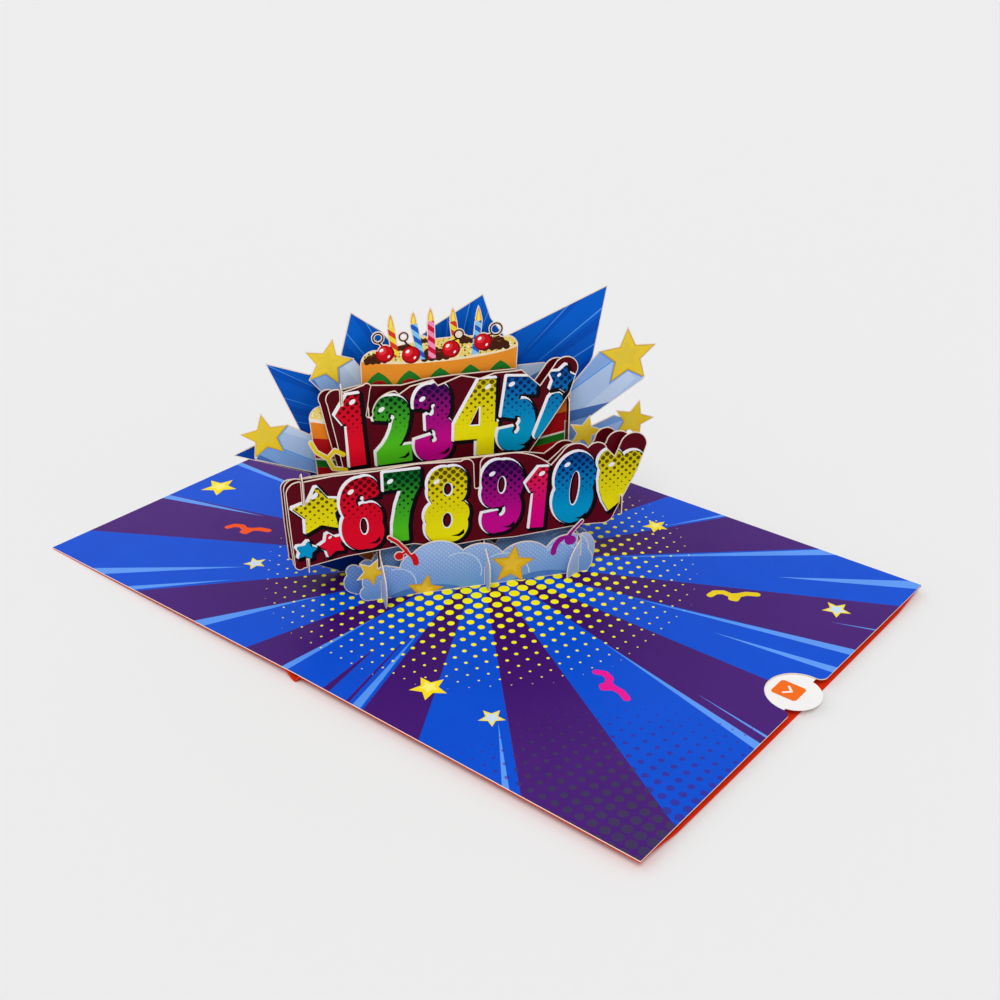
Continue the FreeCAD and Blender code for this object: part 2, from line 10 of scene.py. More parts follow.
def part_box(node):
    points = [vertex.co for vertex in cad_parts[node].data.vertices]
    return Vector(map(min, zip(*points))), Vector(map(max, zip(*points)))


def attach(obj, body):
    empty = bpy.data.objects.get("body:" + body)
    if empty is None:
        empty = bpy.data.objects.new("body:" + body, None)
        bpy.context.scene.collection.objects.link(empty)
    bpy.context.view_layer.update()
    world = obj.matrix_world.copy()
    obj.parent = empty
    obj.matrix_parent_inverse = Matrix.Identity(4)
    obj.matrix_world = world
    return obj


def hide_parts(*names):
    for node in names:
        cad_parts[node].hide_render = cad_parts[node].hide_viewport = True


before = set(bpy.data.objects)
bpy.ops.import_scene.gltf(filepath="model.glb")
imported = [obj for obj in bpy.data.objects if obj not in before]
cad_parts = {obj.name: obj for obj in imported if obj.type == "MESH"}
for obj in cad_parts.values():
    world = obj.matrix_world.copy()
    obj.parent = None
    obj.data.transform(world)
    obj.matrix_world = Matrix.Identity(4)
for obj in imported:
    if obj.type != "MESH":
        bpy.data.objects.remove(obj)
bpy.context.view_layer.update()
scene = bpy.context.scene
scene.view_settings.view_transform = "Standard"

MM = 0.001
PLATE_RUN_DEG = 54.0                                  # run of the plates, from +X towards +Y
LEAF_RUN_DEG = 85.0                                   # run of the right leaf


def plate_directions(run_deg):
    """Directions along a plate and out of its printed face."""
    run = math.radians(run_deg)
    return Vector((math.cos(run), math.sin(run), 0.0)), Vector((math.sin(run), -math.cos(run), 0.0))


ALONG, FACING = plate_directions(PLATE_RUN_DEG)
LEAF_ALONG, LEAF_FACING = plate_directions(LEAF_RUN_DEG)
UP = Vector((0.0, 0.0, 1.0))
RIGHT = Vector((1.0, 0.0, 0.0))
DEEP = Vector((0.0, 1.0, 0.0))
CARD_T, NOTE_T = 0.4, 0.3                             # thickness of the card and of the note
# The inner sheet's top is level on the right and slopes down to the left edge.
SHEET_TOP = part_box("inner_sheet")[1].z / MM
SHEET_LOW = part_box("inner_sheet")[0].z / MM + CARD_T
HALF_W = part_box("inner_sheet")[1].x / MM
HALF_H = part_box("inner_sheet")[1].y / MM
MARGIN = 0.32                                         # unprinted rim of the cut pieces


# Materials

PAPER_ROUGH = 0.42
FIGURE_ROUGH = 0.36
SHEET_ROUGH = 0.33                                    # print of the inner sheet
LINEN_ROUGH = 0.62
SHEEN = 0.07                                          # specular level of paper and linen
MOTTLE = 0.03                                         # share by which a colour's value wavers
BLOTCHES, SMEARS, GRAINS = 0.07, 0.4, 3.0             # noise of colour, roughness and height, per mm
NOISE_SPAN = (0.3, 0.7)                               # noise that counts as low and as high
GRAIN_DEEP = 0.1
DOT_EDGE = 0.05                                       # half the soft edge of a printed dot


def rgb(r, g, b):
    """A colour as seen on screen, 0 to 255, as linear values."""
    def linear(c):
        c = c / 255.0
        return c / 12.92 if c <= 0.04045 else ((c + 0.055) / 1.055) ** 2.4
    return (linear(r), linear(g), linear(b), 1.0)


class Net:
    """One material's nodes, with short names for those used here."""

    def __init__(self, name):
        self.material = bpy.data.materials.new(name)
        self.material.use_nodes = True
        self.tree = self.material.node_tree
        self.shader = self.tree.nodes["Principled BSDF"]
        self.place = self.node("ShaderNodeTexCoord").outputs["Object"]

    def node(self, kind, **settings):
        made = self.tree.nodes.new(kind)
        for key, value in settings.items():
            setattr(made, key, value)
        return made

    def feed(self, socket, value):
        if isinstance(value, bpy.types.NodeSocket):
            self.tree.links.new(value, socket)
        else:
            socket.default_value = value

    def math(self, how, *values):
        made = self.node("ShaderNodeMath", operation=how)
        for socket, value in zip(made.inputs, values):
            self.feed(socket, value)
        return made.outputs[0]

    def along(self, direction):
        """Distance in mm along a direction."""
        made = self.node("ShaderNodeVectorMath", operation="DOT_PRODUCT")
        self.feed(made.inputs[0], self.place)
        made.inputs[1].default_value = [c / MM for c in direction]
        return made.outputs["Value"]

    def ramp(self, value, low, high, to_low=0.0, to_high=1.0):
        made = self.node("ShaderNodeMapRange", clamp=True)
        for socket, v in zip(made.inputs, (value, low, high, to_low, to_high)):
            self.feed(socket, v)
        return made.outputs[0]

    def mix(self, share, a, b):
        made = self.node("ShaderNodeMix", data_type="RGBA")
        for index, value in ((0, share), (6, a), (7, b)):
            self.feed(made.inputs[index], value)
        return made.outputs[2]

    def noise(self, per_mm, detail=2.0):
        made = self.node("ShaderNodeTexNoise")
        self.feed(made.inputs["Vector"], self.place)
        made.inputs["Scale"].default_value = per_mm / MM
        made.inputs["Detail"].default_value = detail
        return made.outputs["Fac"]

    def cells(self, u, v, size):
        """Scattered grains in a plane: distance from the nearest, in grain spacings, and its own colour."""
        flat = self.node("ShaderNodeCombineXYZ")
        self.feed(flat.inputs[0], u)
        self.feed(flat.inputs[1], v)
        made = self.node("ShaderNodeTexVoronoi", voronoi_dimensions="2D")
        self.feed(made.inputs["Vector"], flat.outputs[0])
        made.inputs["Scale"].default_value = 1.0 / size
        return made.outputs["Distance"], made.outputs["Color"]

    def dots(self, u, v, pitch, radius, slanted=True):
        """1 inside the dots of a grid, 0 outside; all in mm. A slanted grid is turned by 45 degrees."""
        if slanted:
            u, v = self.math("ADD", u, v), self.math("SUBTRACT", u, v)
        cell = 1.0 / (pitch * (math.sqrt(2.0) if slanted else 1.0))
        p = self.math("FRACT", self.math("MULTIPLY", u, cell))
        q = self.math("FRACT", self.math("MULTIPLY", v, cell))
        p = self.math("SUBTRACT", p, 0.5)
        q = self.math("SUBTRACT", q, 0.5)
        r = self.math("SQRT", self.math("ADD", self.math("MULTIPLY", p, p), self.math("MULTIPLY", q, q)))
        inside = self.math("SUBTRACT", radius, self.math("MULTIPLY", r, pitch))
        return self.ramp(inside, -DOT_EDGE, DOT_EDGE)

    def relief(self, height, strength, deep):
        bump = self.node("ShaderNodeBump")
        bump.inputs["Strength"].default_value = strength
        bump.inputs["Distance"].default_value = deep * MM
        self.feed(bump.inputs["Height"], height)
        self.feed(self.shader.inputs["Normal"], bump.outputs[0])

    def finish(self, colour, rough=PAPER_ROUGH, grain=0.10, mottle=MOTTLE):
        """Paper: slight mottling of the colour and roughness, and a fine grain."""
        tone = self.node("ShaderNodeHueSaturation")
        value = self.ramp(self.noise(BLOTCHES), *NOISE_SPAN, 1.0 - mottle, 1.0 + mottle)
        self.feed(tone.inputs["Value"], value)
        self.feed(tone.inputs["Color"], colour)
        self.feed(self.shader.inputs["Base Color"], tone.outputs[0])
        gloss = self.ramp(self.noise(SMEARS), *NOISE_SPAN, rough - 0.05, rough + 0.05)
        self.feed(self.shader.inputs["Roughness"], gloss)
        if grain:
            self.relief(self.noise(GRAINS), grain, GRAIN_DEEP)
        self.shader.inputs["Specular IOR Level"].default_value = SHEEN
        return self.material


inks = {}


def ink(name, low, high=None, span=None, screen=None, rough=PAPER_ROUGH, mottle=MOTTLE):
    """Printed colour: from low to high over a span of heights, with a screen of dots.
    screen is the dots' colour, pitch, largest radius, and the heights where they start and are full."""
    net = Net(name)
    colour = rgb(*low)
    height = net.along(UP)
    if high:
        colour = net.mix(net.ramp(height, *span), colour, rgb(*high))
    if screen:
        tint, pitch, radius, start, full = screen
        size = net.ramp(height, start, full, 0.0, radius)
        colour = net.mix(net.dots(net.along(ALONG), height, pitch, size), colour, rgb(*tint))
    inks[name] = net.finish(colour, rough, mottle=mottle)


# Inner sheet. Yellow dots shrink with their distance from the rays' middle, dark ones with their
# distance from the near right corner. Each grid has a pitch and the place of one of its corners.
MIDDLE = (1.0, 3.0)
RAY_FADE = (30, 135)                                  # distances over which a ray's colour changes
YELLOW_DOT = (255, 244, 8)
YELLOW_PITCH, YELLOW_AT = 5.33, (14.8, -37.5)
YELLOW_SHRINK, YELLOW_FADE = (24, 93), (86, 93)
YELLOW_LARGE, YELLOW_SMALL = 2.05, 0.26
DARK_PITCH, DARK_AT = 4.82, (136.6, -93.4)
DARK_SHRINK = (10, 92)
DARK_LARGE = 2.05
DARK_SHARE = 0.85                                     # how far the dark dots cover the ray's colour


def sheet_ink(name, near, far, dark):
    """Colour of the inner sheet, with both grids of dots."""
    net = Net(name)

    def away(px, py):
        out = net.node("ShaderNodeVectorMath", operation="DISTANCE")
        net.feed(out.inputs[0], net.place)
        out.inputs[1].default_value = (px * MM, py * MM, SHEET_TOP * MM)
        return net.math("DIVIDE", out.outputs["Value"], MM)

    def grid(corner, pitch, radius):
        u = net.math("SUBTRACT", net.along(RIGHT), corner[0])
        v = net.math("SUBTRACT", net.along(DEEP), corner[1])
        return net.dots(u, v, pitch, radius, False)

    reach = away(*MIDDLE)
    colour = net.mix(net.ramp(reach, *RAY_FADE), rgb(*near), rgb(*far))
    share = net.math("POWER", net.ramp(reach, *YELLOW_SHRINK, 1.0, 0.0), 1.3)
    radius = net.math("MULTIPLY_ADD", share, YELLOW_LARGE, YELLOW_SMALL)
    radius = net.math("SUBTRACT", radius, net.ramp(reach, *YELLOW_FADE, 0.0, 0.4))
    colour = net.mix(grid(YELLOW_AT, YELLOW_PITCH, radius), colour, rgb(*YELLOW_DOT))
    radius = net.ramp(away(HALF_W, -HALF_H), *DARK_SHRINK, DARK_LARGE, -0.1)
    spots = net.math("MULTIPLY", grid(DARK_AT, DARK_PITCH, radius), DARK_SHARE)
    inks[name] = net.finish(net.mix(spots, colour, rgb(*dark)), SHEET_ROUGH, grain=0.05)


STRIPE_PITCH, STRIPE_LEAN = 4.2, 0.8                  # lean is the rise per mm across


def striped(name, a, b):
    """Slanting stripes across a candle."""
    net = Net(name)
    run = net.math("ADD", net.along(UP), net.math("MULTIPLY", net.along(ALONG), STRIPE_LEAN))
    part = net.math("FRACT", net.math("DIVIDE", run, STRIPE_PITCH))
    inks[name] = net.finish(net.mix(net.ramp(part, 0.47, 0.53), rgb(*a), rgb(*b)))


SPOT_SPACING = 1.15                                   # grains on the icing
SPOT_SMALL, SPOT_SPREAD, SPOT_RAGGED = 0.32, 0.2, 0.3  # their size and unevenness, in spacings
SPOTS_BARE, SPOTS_DARK = 0.25, 0.5                    # shares of bare places, and of dark grains


def speckled(name, base, dark, pale):
    """Icing strewn with dark and pale grains."""
    net = Net(name)
    distance, own = net.cells(net.along(ALONG), net.along(UP), SPOT_SPACING)
    pick = net.node("ShaderNodeSeparateColor")
    net.feed(pick.inputs[0], own)
    uneven = net.math("ADD", distance, net.math("MULTIPLY", net.noise(1.4), SPOT_RAGGED))
    limit = net.math("MULTIPLY_ADD", pick.outputs[2], SPOT_SPREAD, SPOT_SMALL)
    speck = net.ramp(net.math("SUBTRACT", limit, uneven), -0.03, 0.03)
    here = net.math("GREATER_THAN", pick.outputs[0], SPOTS_BARE)
    kind = net.math("GREATER_THAN", pick.outputs[1], SPOTS_DARK)
    grain = net.mix(kind, rgb(*dark), rgb(*pale))
    inks[name] = net.finish(net.mix(net.math("MULTIPLY", speck, here), rgb(*base), grain))


THREADS_X, THREADS_Y = 0.55, 0.7                      # pitches of the cover's weave
WEAVE_STRENGTH, WEAVE_DEEP = 0.35, 0.12


def linen(name, colour, thread):
    """Woven book cloth."""
    net = Net(name)
    over = net.math("SINE", net.math("MULTIPLY", net.along(RIGHT), math.tau / THREADS_X))
    under = net.math("SINE", net.math("MULTIPLY", net.along(DEEP), math.tau / THREADS_Y))
    weave = net.math("MULTIPLY_ADD", net.math("MULTIPLY", over, under), 0.35, net.noise(1.6, 4.0))
    base = net.mix(net.ramp(weave, 0.1, 1.0), rgb(*thread), rgb(*colour))
    inks[name] = net.finish(base, LINEN_ROUGH, grain=0.0)
    net.relief(weave, WEAVE_STRENGTH, WEAVE_DEEP)


# Shapes in the plane of a plate: closed loops of points

ARC_STEP_DEG = 12.0


def rounded(points):
    """Points of an outline; four numbers are an arc's middle and end."""
    out = [points[0][-2:]]
    for leg in points[1:]:
        if len(leg) == 2:
            out.append(leg)
            continue
        (ax, ay), (mx, my), (bx, by) = out[-1], leg[:2], leg[2:]
        d = 2 * (ax * (my - by) + mx * (by - ay) + bx * (ay - my))
        a2, m2, b2 = ax * ax + ay * ay, mx * mx + my * my, bx * bx + by * by
        cx = (a2 * (my - by) + m2 * (by - ay) + b2 * (ay - my)) / d
        cy = (a2 * (bx - mx) + m2 * (ax - bx) + b2 * (mx - ax)) / d
        r = math.hypot(ax - cx, ay - cy)
        start = math.atan2(ay - cy, ax - cx)
        half = (math.atan2(my - cy, mx - cx) - start) % math.tau
        sweep = (math.atan2(by - cy, bx - cx) - start) % math.tau
        if half > sweep:
            sweep -= math.tau
        steps = max(2, math.ceil(abs(math.degrees(sweep)) / ARC_STEP_DEG))
        out += [(cx + r * math.cos(start + sweep * k / steps), cy + r * math.sin(start + sweep * k / steps))
                for k in range(1, steps + 1)]
    return out


def polar(centre, r, turn_deg):
    a = math.radians(turn_deg)
    return (centre[0] + r * math.cos(a), centre[1] + r * math.sin(a))


def set_at(points, cx, cy, turn_deg):
    """Points about the origin, turned and moved to a centre."""
    t = math.radians(turn_deg)
    return [(cx + p * math.cos(t) - q * math.sin(t), cy + p * math.sin(t) + q * math.cos(t))
            for p, q in points]


def rect(x0, x1, y0, y1):
    return [(x0, y0), (x1, y0), (x1, y1), (x0, y1)]


def oval(cx, cy, rx, ry, turn_deg=0.0, steps=24):
    angles = [math.tau * k / steps for k in range(steps)]
    return set_at([(rx * math.cos(a), ry * math.sin(a)) for a in angles], cx, cy, turn_deg)


def star(cx, cy, r, first_deg, inner=0.46):
    """Five-pointed star, one point of which lies at first_deg."""
    return [polar((cx, cy), r if k % 2 == 0 else r * inner, first_deg + 36.0 * k) for k in range(10)]


def band(p, q, wide, wide_end=None):
    """Stroke from p to q with round ends."""
    a = math.atan2(q[1] - p[1], q[0] - p[0])
    w0, w1 = wide / 2, (wide if wide_end is None else wide_end) / 2
    ends = [(q, w1, a - math.pi / 2), (p, w0, a + math.pi / 2)]
    return [(c[0] + w * math.cos(s + math.pi * k / 6), c[1] + w * math.sin(s + math.pi * k / 6))
            for c, w, s in ends for k in range(7)]


def stroke(points, wide):
    return [band(a, b, wide) for a, b in zip(points, points[1:])]


def area(loop):
    return sum(a[0] * b[1] - b[0] * a[1] for a, b in zip(loop, loop[1:] + loop[:1])) / 2


ONE_PLACE = 2e-3                                      # points nearer than this are one
SHARP_COS, CORNER_CUT = 0.35, 0.55                    # a sharper corner is cut by this share of the shift
LEAST_MITRE = 0.35


def moved(loop, by):
    """The loop shifted by a distance to the right of its direction; sharp corners are cut short."""
    kept = []
    for p in loop:
        if not kept or math.dist(p, kept[-1]) > ONE_PLACE:
            kept.append(p)
    if math.dist(kept[0], kept[-1]) < ONE_PLACE:
        kept.pop()
    out = []
    for i, b in enumerate(kept):
        a, c = kept[i - 1], kept[(i + 1) % len(kept)]
        la, lc = math.dist(a, b), math.dist(b, c)
        ux, uy = (b[0] - a[0]) / la, (b[1] - a[1]) / la
        wx, wy = (c[0] - b[0]) / lc, (c[1] - b[1]) / lc
        cos, sin = ux * wx + uy * wy, ux * wy - uy * wx
        if sin * by > 0 and cos < SHARP_COS:
            cut = CORNER_CUT * abs(by)
            out.append((b[0] + uy * by + ux * cut, b[1] - ux * by + uy * cut))
            out.append((b[0] + wy * by - wx * cut, b[1] - wx * by - wy * cut))
        else:
            k = by / max(1 + cos, LEAST_MITRE)
            out.append((b[0] + (uy + wy) * k, b[1] - (ux + wx) * k))
    return out


def grown(loop, by, dx=0.0, dy=0.0):
    """The loop made larger by a distance on all sides, and shifted."""
    loop = loop if area(loop) > 0 else loop[::-1]
    return [(x + dx, y + dy) for x, y in moved(loop, by)]


def turns(points, loops):
    """How often the loops run round each point."""
    count = np.zeros(len(points), int)
    for loop in loops:
        ring = np.array(loop, float)
        lo, hi = ring.min(0), ring.max(0)
        near = np.nonzero(((points >= lo) & (points <= hi)).all(1))[0]
        if not len(near):
            continue
        px, py = points[near, 0], points[near, 1]
        total = np.zeros(len(near), int)
        for (x0, y0), (x1, y1) in zip(ring, np.roll(ring, -1, 0)):
            side = (x1 - x0) * (py - y0) - (px - x0) * (y1 - y0)
            total += ((y0 <= py) & (y1 > py) & (side > 0)).astype(int)
            total -= ((y0 > py) & (y1 <= py) & (side < 0)).astype(int)
        count[near] += total
    return count


SAME_WAY_COS = 0.98                                   # of a face that looks along a direction


def face_loops(node, normal, u, v):
    """Outlines of a CAD piece's faces that look along normal, and how far out they are, in mm."""
    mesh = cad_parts[node].data
    weld, ids, where = {}, [], []
    for vertex in mesh.vertices:
        key = tuple(round(c / MM, 3) for c in vertex.co)
        if key not in weld:
            weld[key] = len(where)
            where.append(vertex.co / MM)
        ids.append(weld[key])
    edges, out = set(), -math.inf
    for face in mesh.polygons:
        if face.normal.dot(normal) > SAME_WAY_COS:
            ring = [ids[i] for i in face.vertices]
            edges.update(zip(ring, ring[1:] + ring[:1]))
            out = max(out, max(where[i].dot(normal) for i in ring))
    follow = {}
    for a, b in edges:
        if (b, a) not in edges and a != b:
            follow.setdefault(a, []).append(b)
    loops = []
    while follow:
        start = next(iter(follow))
        ring, here = [], start
        while here in follow:
            ring.append(here)
            after = follow[here].pop()
            if not follow[here]:
                del follow[here]
            here = after
        loops.append([(where[i].dot(u), where[i].dot(v)) for i in ring])
    return loops, out


MESH_NEAR = 1e-4                                      # points of a print nearer than this are joined


def layered(name, loops, art, ground, front, rear, back=None, margin=MARGIN, rim="card_rim", folds=()):
    """Thin closed solid cut along the loops. art lists (ink, loops), later ones on top, on the ground ink;
    front and rear give the place of a point on either side; with no back ink both sides have the print."""
    inner = [moved(loop, -margin) for loop in loops] if margin else loops
    points, edges = [], []
    for loop in loops + (inner if margin else []) + [one for _, several in art for one in several]:
        k = len(points)
        points += [Vector(p) for p in loop]
        edges += [(k + i, k + (i + 1) % len(loop)) for i in range(len(loop))]
    for a, b in folds:
        edges.append((len(points), len(points) + 1))
        points += [Vector(a), Vector(b)]
    verts, _, faces, _, _, _ = delaunay_2d_cdt(points, edges, [], 0, MESH_NEAR)
    xy = np.array([tuple(p) for p in verts], float)
    tri = np.array(faces, int)
    mid = xy[tri].mean(1)
    keep = turns(mid, loops) > 0
    tri, mid = tri[keep], mid[keep]
    names = [rim, ground]
    colour = np.where(turns(mid, inner) > 0, 1, 0)
    for shade, several in art:
        if shade not in names:
            names.append(shade)
        colour[(turns(mid, several) != 0) & (colour > 0)] = names.index(shade)
    if back and back not in names:
        names.append(back)
    used = np.unique(tri)
    tri = np.searchsorted(used, tri).tolist()
    xy = xy[used].tolist()
    total = len(xy)
    co = [front(x, y) * MM for x, y in xy] + [rear(x, y) * MM for x, y in xy]
    polys = [tuple(three) for three in tri] + [tuple(total + i for i in reversed(three)) for three in tri]
    fill = list(colour) + ([names.index(back)] * len(tri) if back else list(colour))
    directed = {(three[i], three[(i + 1) % 3]) for three in tri for i in range(3)}
    for a, b in sorted(directed):
        if (b, a) not in directed:
            polys.append((a, total + a, total + b, b))
            fill.append(0)
    mesh = bpy.data.meshes.new(name)
    mesh.from_pydata(co, [], polys)
    for shade in names:
        mesh.materials.append(inks[shade])
    mesh.polygons.foreach_set("material_index", np.array(fill, np.int32))
    mesh.update()
    piece = bpy.data.objects.new(name, mesh)
    bpy.context.collection.objects.link(piece)
    return piece


def printed(node, slot, art, ground, u=ALONG, v=UP, n=FACING, lift=0.0, height=None, thick=CARD_T,
            body="card", **more):
    """A card piece with the CAD piece's own outline in the plane of u and v, and a print."""
    loops, out = face_loops(node, n, u, v)
    loops = [[(x, y - lift) for x, y in loop] for loop in loops]

    def front(x, y):
        return u * x + v * (y + lift) + n * (height(x, y) if height else out)

    piece = layered(node + "_print", loops, art, ground, front, lambda x, y: front(x, y) - n * thick, **more)
    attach(piece, body)
    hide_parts(node)
    return piece


# Printed colours

# The two rows of figures: bottom, top and colours
ROWS = {"lower": (24.0, 58.5, ("yellow", "red", "green", "purple", "pink", "blue")),
        "upper": (56.0, 90.0, ("yellow", "red", "green", "purple", "blue"))}
FIGURE_DOTS = (2.3, 0.98)                             # pitch, and radius where they are full
# A figure's colour at its foot and at its head, and that of its dots
FIGURE_INKS = {
    "yellow": ((248, 236, 10), (216, 196, 0), (96, 84, 0)),
    "red": ((236, 10, 40), (206, 4, 30), (96, 0, 12)),
    "green": ((84, 200, 30), (0, 104, 34), (0, 46, 14)),
    "purple": ((204, 8, 140), (74, 10, 92), (36, 0, 52)),
    "pink": ((224, 0, 128), (232, 30, 44), (130, 0, 30)),
    "blue": ((0, 156, 204), (0, 84, 160), (0, 38, 92)),
}

ink("card_rim", (246, 226, 206), mottle=0.01)
ink("white_ink", (250, 248, 246), mottle=0.01)
ink("black_ink", (16, 8, 12))
ink("maroon", (98, 6, 22), (84, 2, 16), (20, 90))
ink("maroon_back", (92, 10, 24))
for row, (bottom, top, colours) in ROWS.items():
    tall = top - bottom
    fade = (bottom + 0.25 * tall, top - 0.1 * tall)
    for name in colours:
        low, high, dot = FIGURE_INKS[name]
        screen = (dot, *FIGURE_DOTS, bottom + 0.32 * tall, top - 0.1 * tall)
        ink(row + "_" + name, low, high, fade, screen, FIGURE_ROUGH)

ink("cloud", (112, 160, 222), (158, 190, 234), (6, 24), ((186, 208, 242), 1.35, 0.4, 2, 22))
# The second cloud's blue and dots are the front cloud's made darker: painted shade for the plate behind it.
ink("cloud_rear_painted_shade", (84, 130, 198), (132, 170, 222), (6, 24), ((156, 188, 232), 1.35, 0.38, 2, 22))
ink("cloud_line", (206, 224, 248))
ink("cloud_shade", (78, 126, 200))
ink("leaf_blue", (150, 184, 232), (196, 214, 242), (4, 20))
ink("gold", (236, 184, 30), (248, 204, 50), (4, 24))
ink("gold_dark", (222, 154, 18))
ink("gold_pale", (248, 204, 56))
ink("trail_gold", (242, 204, 36), (248, 214, 60), (50, 96))
ink("trail_gold_dark", (214, 164, 30))
ink("trail_gold_pale", (240, 208, 62))
ink("streamer_red", (222, 24, 28))
ink("streamer_purple", (158, 24, 142))
ink("streamer_yellow", (238, 208, 26))
ink("streamer_orange", (250, 84, 20))
ink("streamer_magenta", (238, 20, 150))
ink("trail_pale", (150, 184, 232), (196, 216, 244), (40, 96))
ink("trail_mid", (112, 156, 220), (150, 184, 234), (40, 96))
ink("trail_deep", (58, 100, 172), (88, 130, 200), (40, 96))
ink("trail_light", (176, 202, 238), (210, 226, 248), (40, 96))
ink("trail_line", (84, 160, 242))
ink("burst_blue", (0, 56, 150), (0, 98, 210), (50, 104))
ink("burst_light", (30, 112, 210), (88, 162, 242), (50, 110))
ink("burst_deep", (0, 48, 136), (0, 86, 196), (50, 104))
ink("cake_side", (228, 124, 22), (240, 150, 44), (50, 96))
ink("cake_green", (34, 124, 40))
ink("cake_red", (178, 18, 24))
ink("cake_icing", (250, 240, 220))
ink("cake_orange", (236, 112, 20), (240, 140, 40), (50, 80))
ink("cake_rim", (250, 232, 190))
ink("chocolate", (70, 32, 14))
ink("chocolate_light", (122, 66, 34))
ink("cherry", (206, 12, 26))
ink("cherry_dark", (140, 0, 16))
ink("cherry_light", (240, 50, 60))
ink("curl_ink", (54, 22, 20))
ink("flame_outer", (252, 160, 20))
ink("flame_inner", (255, 238, 90))
speckled("cake_top", (244, 218, 116), (96, 56, 20), (255, 250, 232))
striped("candle_yellow", (250, 224, 60), (224, 60, 30))
striped("candle_blue", (140, 208, 246), (24, 96, 196))
striped("candle_pink", (252, 150, 190), (216, 20, 60))
sheet_ink("ray_blue", (0, 76, 208), (4, 80, 212), (52, 46, 156))
sheet_ink("ray_purple", (54, 4, 98), (72, 28, 118), (62, 54, 88))
sheet_ink("ray_light", (60, 140, 240), (96, 156, 246), (84, 80, 180))
ink("sheet_star", (255, 226, 26), rough=SHEET_ROUGH)
ink("sheet_star_light", (255, 243, 120), rough=SHEET_ROUGH)
ink("sheet_star_pale", (206, 228, 250), rough=SHEET_ROUGH)
ink("sheet_under", (236, 228, 218))
ink("note_white", (247, 246, 244), mottle=0.006)
ink("note_mark", (250, 112, 24))
ink("cover_blue", (0, 92, 190))
ink("cover_blue_light", (24, 132, 216))
ink("cover_streak", (120, 208, 244))
ink("cover_knot", (100, 190, 80))
linen("cover_linen", (238, 58, 10), (206, 34, 4))


# Figures

UNIT_W, UNIT_H = 100, 160                             # box in which the outlines are drawn
DIGITS = {
    "1": [(38, 0), (80, 0), (80, 160), (50, 160), (12, 122), (30, 100), (38, 108)],
    "2": [(4, 0), (96, 0), (96, 36), (58, 36), (82, 66, 94, 100), (86, 146, 48, 160),
          (12, 150, 4, 112), (42, 106), (44, 124, 52, 124), (60, 118, 56, 104), (40, 66, 4, 30)],
    "3": [(4, 118), (14, 150, 48, 160), (88, 152, 94, 120), (92, 98, 80, 86), (96, 74, 96, 46),
          (88, 8, 48, 0), (10, 10, 2, 44), (40, 50), (42, 34, 50, 34), (60, 40, 58, 52),
          (54, 66, 34, 66), (34, 96), (54, 98, 56, 112), (56, 126, 48, 126), (42, 124, 40, 112)],
    "4": [(56, 0), (92, 0), (92, 36), (100, 36), (100, 66), (92, 66), (92, 160), (56, 160),
          (2, 70), (2, 36), (56, 36)],
    "5": [(10, 160), (90, 160), (90, 126), (44, 126), (42, 106), (66, 110, 84, 96),
          (98, 60, 88, 26), (70, 2, 44, 0), (12, 8, 2, 42), (38, 48), (42, 32, 50, 33),
          (58, 38, 58, 56), (56, 76, 46, 78), (40, 78, 38, 72), (6, 76)],
    "6": [(94, 118), (86, 152, 52, 160), (14, 148, 4, 80), (12, 10, 52, 0), (92, 12, 97, 54),
          (90, 92, 58, 100), (48, 100, 41, 94), (44, 126, 52, 127), (58, 124, 59, 114)],
    "7": [(4, 160), (96, 160), (96, 128), (66, 70, 60, 0), (22, 0), (28, 62, 52, 124), (4, 124)],
    "8": [(50, 160), (86, 150, 92, 120), (90, 98, 80, 86), (97, 72, 96, 44), (86, 6, 50, 0),
          (14, 6, 4, 44), (3, 72, 20, 86), (10, 98, 8, 120), (14, 150, 50, 160)],
    "0": [(50, 160), (90, 140, 97, 80), (90, 20, 50, 0), (10, 20, 3, 80), (10, 140, 50, 160)],
    "heart": [(50, 0), (14, 52, 4, 104), (14, 152, 50, 126), (86, 152, 96, 104), (86, 52, 50, 0)],
}
# Openings of the figures
COUNTERS = {
    "4": [[(36, 66), (56, 66), (56, 104)]],
    "6": [oval(50, 52, 9, 18)],
    "8": [oval(50, 116, 9, 13), oval(50, 46, 10, 16)],
    "0": [oval(50, 80, 11, 38)],
}
DIGITS["9"] = [(UNIT_W - x, UNIT_H - y) for x, y in rounded(DIGITS["6"])]
COUNTERS["9"] = [[(UNIT_W - x, UNIT_H - y) for x, y in loop] for loop in COUNTERS["6"]]
SHINE_AT = {"heart": (27, 116), "1": (62, 146), "4": (76, 146), "7": (18, 142), "5": (22, 146)}
SHINE_ELSE = (24, 134)
# Dark nick at the foot of some figures
NICK = [(91, 22), (78, 12), (60, 9), (80, 6), (92, 12)]
NICKED = "0235689"
# Layers of a figure and of its openings, from the back forwards: ink, how far it is grown, its shift
FIGURE_LAYERS = [("black_ink", 1.8, 0.4, -0.4), ("white_ink", 1.2, -0.45, 0.45),
                 ("black_ink", 0.85, 0.32, -0.32)]
OPENING_LAYERS = [("white_ink", 0.4, 0.2, -0.2), ("black_ink", 0.0, 0.0, 0.0),
                  ("maroon", -0.65, 0.2, -0.2)]
FACE_GROWN = 0.45


def placed(loop, box, tilt_deg):
    """Outline from the unit box set in a box (left, right, bottom, top) and tilted."""
    x0, x1, z0, z1 = box
    sized = [((x / UNIT_W - 0.5) * (x1 - x0), (z / UNIT_H - 0.5) * (z1 - z0)) for x, z in loop]
    return set_at(sized, (x0 + x1) / 2, (z0 + z1) / 2, tilt_deg)


